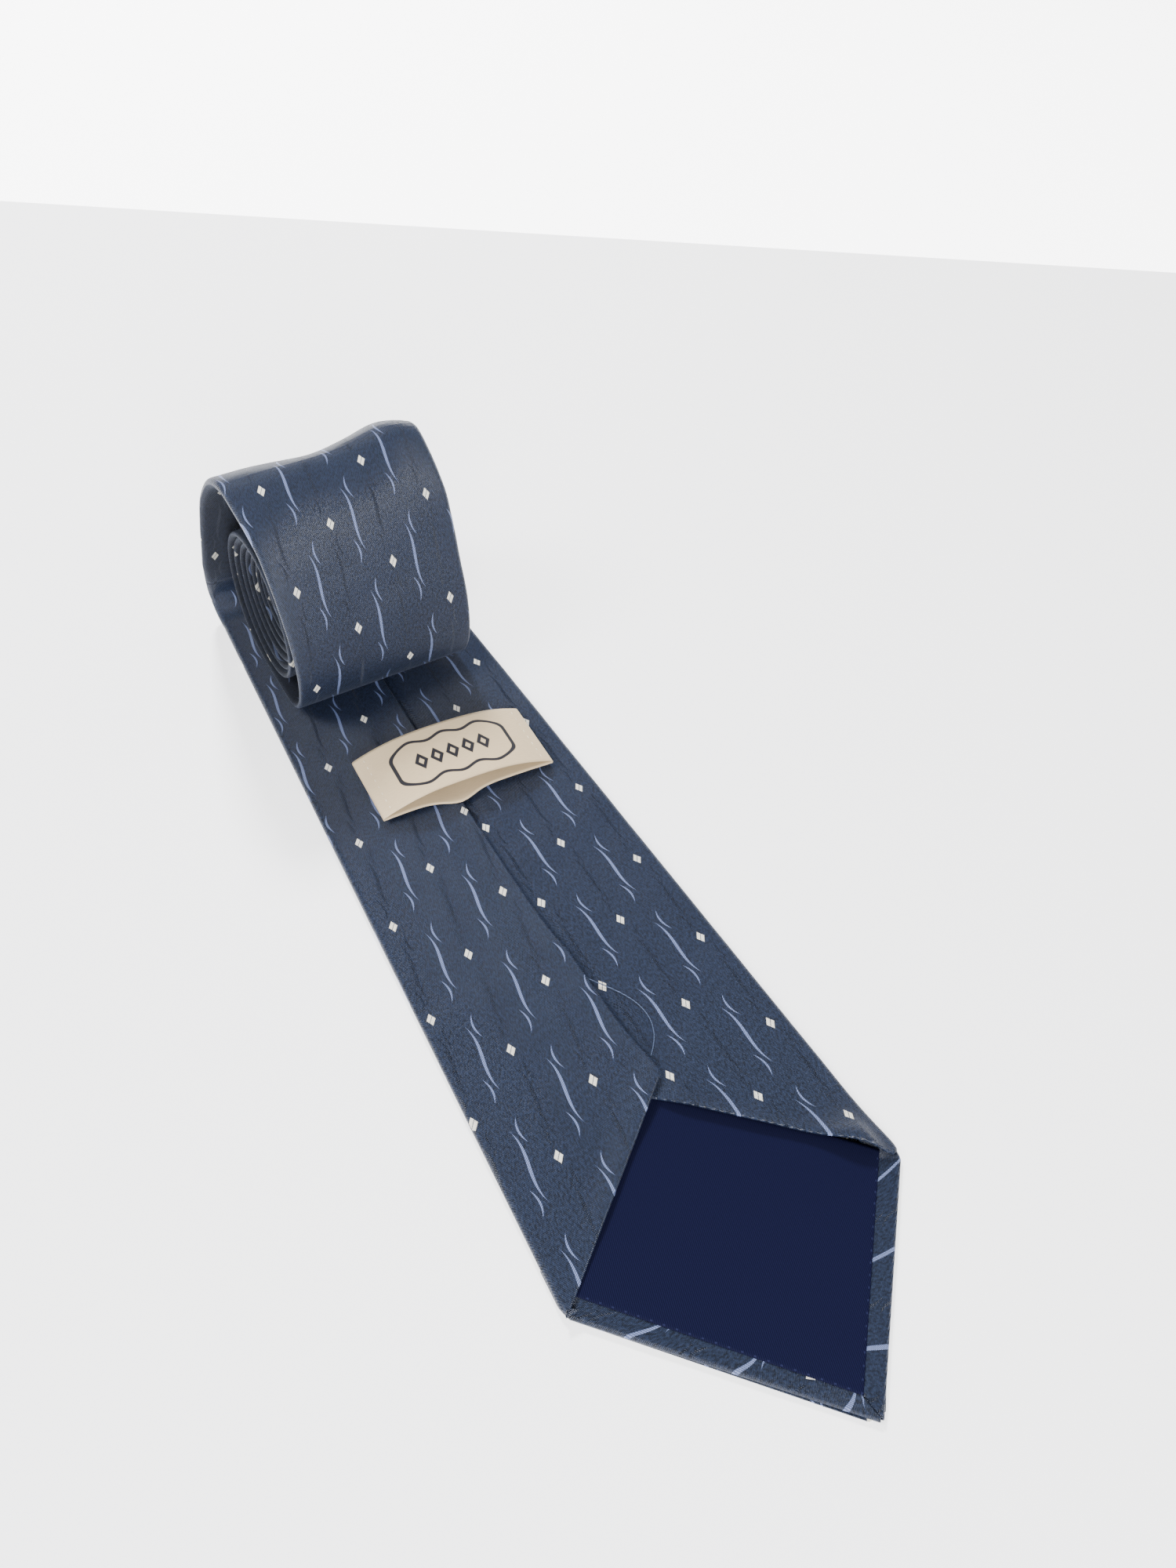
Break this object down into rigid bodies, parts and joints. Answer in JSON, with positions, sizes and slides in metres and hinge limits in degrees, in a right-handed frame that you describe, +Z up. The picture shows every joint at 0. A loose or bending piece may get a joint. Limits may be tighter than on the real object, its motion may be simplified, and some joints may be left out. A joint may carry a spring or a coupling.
{
  "type": "necktie",
  "caption": "Pointed silk necktie lying face down, with a lined blade, folded flaps, a keeper loop and the narrow end rolled up.",
  "frame": {"origin": "middle of the tie's box, on the surface that it lies on", "axes": "+Y along the tie, from the wide blade's point towards the roll; +X across it to the right, seen from above with the point towards the viewer; +Z up"},
  "size_m": [0.095, 0.3298, 0.0735],
  "materials": {
    "silk": "woven silk jacquard, slate blue with pale figures",
    "wool": "brushed wool interlining",
    "lining": "plain woven lining, navy",
    "satin": "cream woven satin",
    "thread": "twisted sewing thread"
  },
  "bodies": {
    "blade": {"envelope_blade": "silk", "interlining_blade": "wool", "tipping_blade": "lining", "keeper_loop": "satin", "keeper_stitches_left": "thread", "keeper_stitches_right": "thread", "slip_stitch": "thread", "slack_thread": "thread", "bar_tack_blade": "thread"},
    "roll": {"envelope_wrap": "silk", "envelope_neck": "silk", "envelope_tail": "silk", "interlining_roll": "wool", "tipping_tail": "lining", "bar_tack_tail": "thread"}
  },
  "joints": [
    {"name": "unroll", "type": "hinge", "parent": "blade", "child": "roll", "pos_m": [0, 0.1616, 0.0034], "axis": [-1, 0, 0], "range_deg": [0, 90]}
  ]
}
